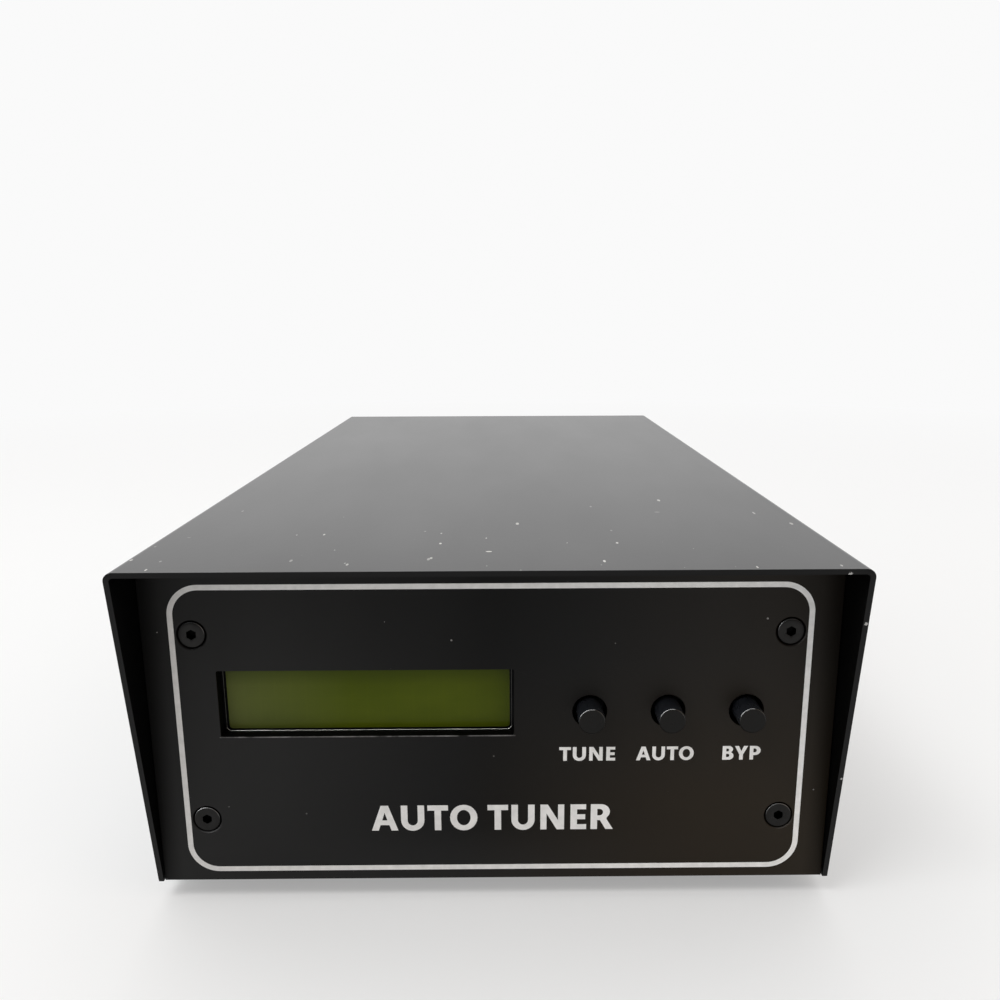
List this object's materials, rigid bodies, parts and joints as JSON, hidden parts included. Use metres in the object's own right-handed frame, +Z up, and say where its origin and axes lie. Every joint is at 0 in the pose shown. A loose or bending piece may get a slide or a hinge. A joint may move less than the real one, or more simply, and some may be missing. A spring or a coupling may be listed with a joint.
{
  "type": "automatic antenna tuner",
  "caption": "Desktop automatic antenna tuner: black sheet-metal case with a hooded front, backlit display window, small push buttons and coaxial sockets on the rear.",
  "frame": {"origin": "centre of the whole object's footprint, on the plane the rubber feet stand on", "axes": "front panel faces -Y, rear sockets point to +Y, +X is to the right seen from the front, +Z up"},
  "size_m": [0.1636, 0.312, 0.085],
  "materials": {
    "cover_paint": "satin fine-texture powder coat",
    "chassis_paint": "satin fine-texture powder coat",
    "panel_paint": "matt black",
    "black_steel": "black oxide",
    "zinc_steel": "zinc plated",
    "foot_rubber": "matt",
    "brass_part": "machined",
    "lcd_frame": "satin black",
    "lcd_face": "polished, yellow-green film",
    "light_guide": "translucent",
    "board_green": "solder mask",
    "black_plastic": "moulded",
    "cap_plastic": "satin gloss",
    "white_plastic": "moulded",
    "relay_plastic": "moulded",
    "mica_dip": "dipped",
    "core_red": "enamelled",
    "copper_wire": "enamelled copper",
    "ferrite": "sintered",
    "coax_jacket": "extruded",
    "red_insulation": "extruded",
    "grey_insulation": "extruded",
    "black_aluminium": "anodised",
    "capacitor_sleeve": "shrink sleeve",
    "nickel_plate": "bright nickel",
    "ptfe": "turned",
    "gold_contact": "plated",
    "legend_print": "screen printed"
  },
  "bodies": {
    "case": {"top_cover": "cover_paint", "chassis": "chassis_paint", "front_panel": "panel_paint", "front_panel_screws": "black_steel", "clinch_nuts": "zinc_steel", "cover_screws": "black_steel", "rubber_feet": "foot_rubber", "foot_screws": "zinc_steel", "hex_nuts": "zinc_steel", "board_standoffs": "brass_part", "board_screws": "zinc_steel", "lcd_bezel": "lcd_frame", "lcd_glass": "lcd_face", "lcd_backlight": "light_guide", "lcd_board": "board_green", "lcd_header": "black_plastic", "lcd_spacers": "white_plastic", "front_board": "board_green", "tune_switch_body": "black_plastic", "auto_switch_body": "black_plastic", "bypass_switch_body": "black_plastic", "tune_spring": "zinc_steel", "auto_spring": "zinc_steel", "bypass_spring": "zinc_steel", "main_board": "board_green", "inductor_relays": "relay_plastic", "capacitor_relays": "relay_plastic", "mica_capacitors": "mica_dip", "toroid_cores": "core_red", "toroid_windings": "copper_wire", "air_coils": "copper_wire", "swr_cores": "ferrite", "rf_leads": "coax_jacket", "microcontroller": "black_plastic", "driver_chips": "black_plastic", "voltage_regulator": "black_plastic", "heatsink": "black_aluminium", "electrolytic_capacitors": "capacitor_sleeve", "ribbon_headers": "black_plastic", "ribbon_cable": "grey_insulation", "dc_leads": "red_insulation", "transmitter_socket": "nickel_plate", "antenna_socket": "nickel_plate", "socket_insulators": "ptfe", "socket_contacts": "gold_contact", "socket_screws": "zinc_steel", "dc_jack": "black_plastic", "dc_jack_nut": "zinc_steel", "dc_jack_pin": "nickel_plate", "power_switch_housing": "black_plastic", "ground_stud": "brass_part"},
    "tune_button": {"tune_plunger": "white_plastic", "tune_cap": "cap_plastic"},
    "auto_button": {"auto_plunger": "white_plastic", "auto_cap": "cap_plastic"},
    "bypass_button": {"bypass_plunger": "white_plastic", "bypass_cap": "cap_plastic"},
    "power_key": {"power_rocker": "cap_plastic"},
    "earth_washer": {"ground_washer": "zinc_steel"},
    "earth_nut": {"ground_wing_nut": "nickel_plate"}
  },
  "joints": [
    {"name": "tune_press", "type": "slide", "parent": "case", "child": "tune_button", "axis": [0, 1, 0], "range_m": [0, 0.0015], "stiffness_N_per_m": 400, "springref_m": -0.003, "deforming": ["tune_spring"]},
    {"name": "auto_press", "type": "slide", "parent": "case", "child": "auto_button", "axis": [0, 1, 0], "range_m": [0, 0.0015], "stiffness_N_per_m": 400, "springref_m": -0.003, "deforming": ["auto_spring"]},
    {"name": "bypass_press", "type": "slide", "parent": "case", "child": "bypass_button", "axis": [0, 1, 0], "range_m": [0, 0.0015], "stiffness_N_per_m": 400, "springref_m": -0.003, "deforming": ["bypass_spring"]},
    {"name": "power_rock", "type": "hinge", "parent": "case", "child": "power_key", "pos_m": [-0.014, 0.14235, 0.055], "axis": [1, 0, 0], "range_deg": [0, 20]},
    {"name": "earth_washer_slide", "type": "slide", "parent": "case", "child": "earth_washer", "axis": [0, 1, 0], "range_m": [0, 0.0035]},
    {"name": "earth_nut_turn", "type": "hinge", "parent": "earth_washer", "child": "earth_nut", "pos_m": [0, 0.14485, 0.027], "axis": [0, 1, 0], "range_deg": [0, 1800]}
  ],
  "couplings": [
    {"joint": "earth_nut_turn", "follows": "earth_washer_slide", "rad_per_m": 8975.9}
  ]
}
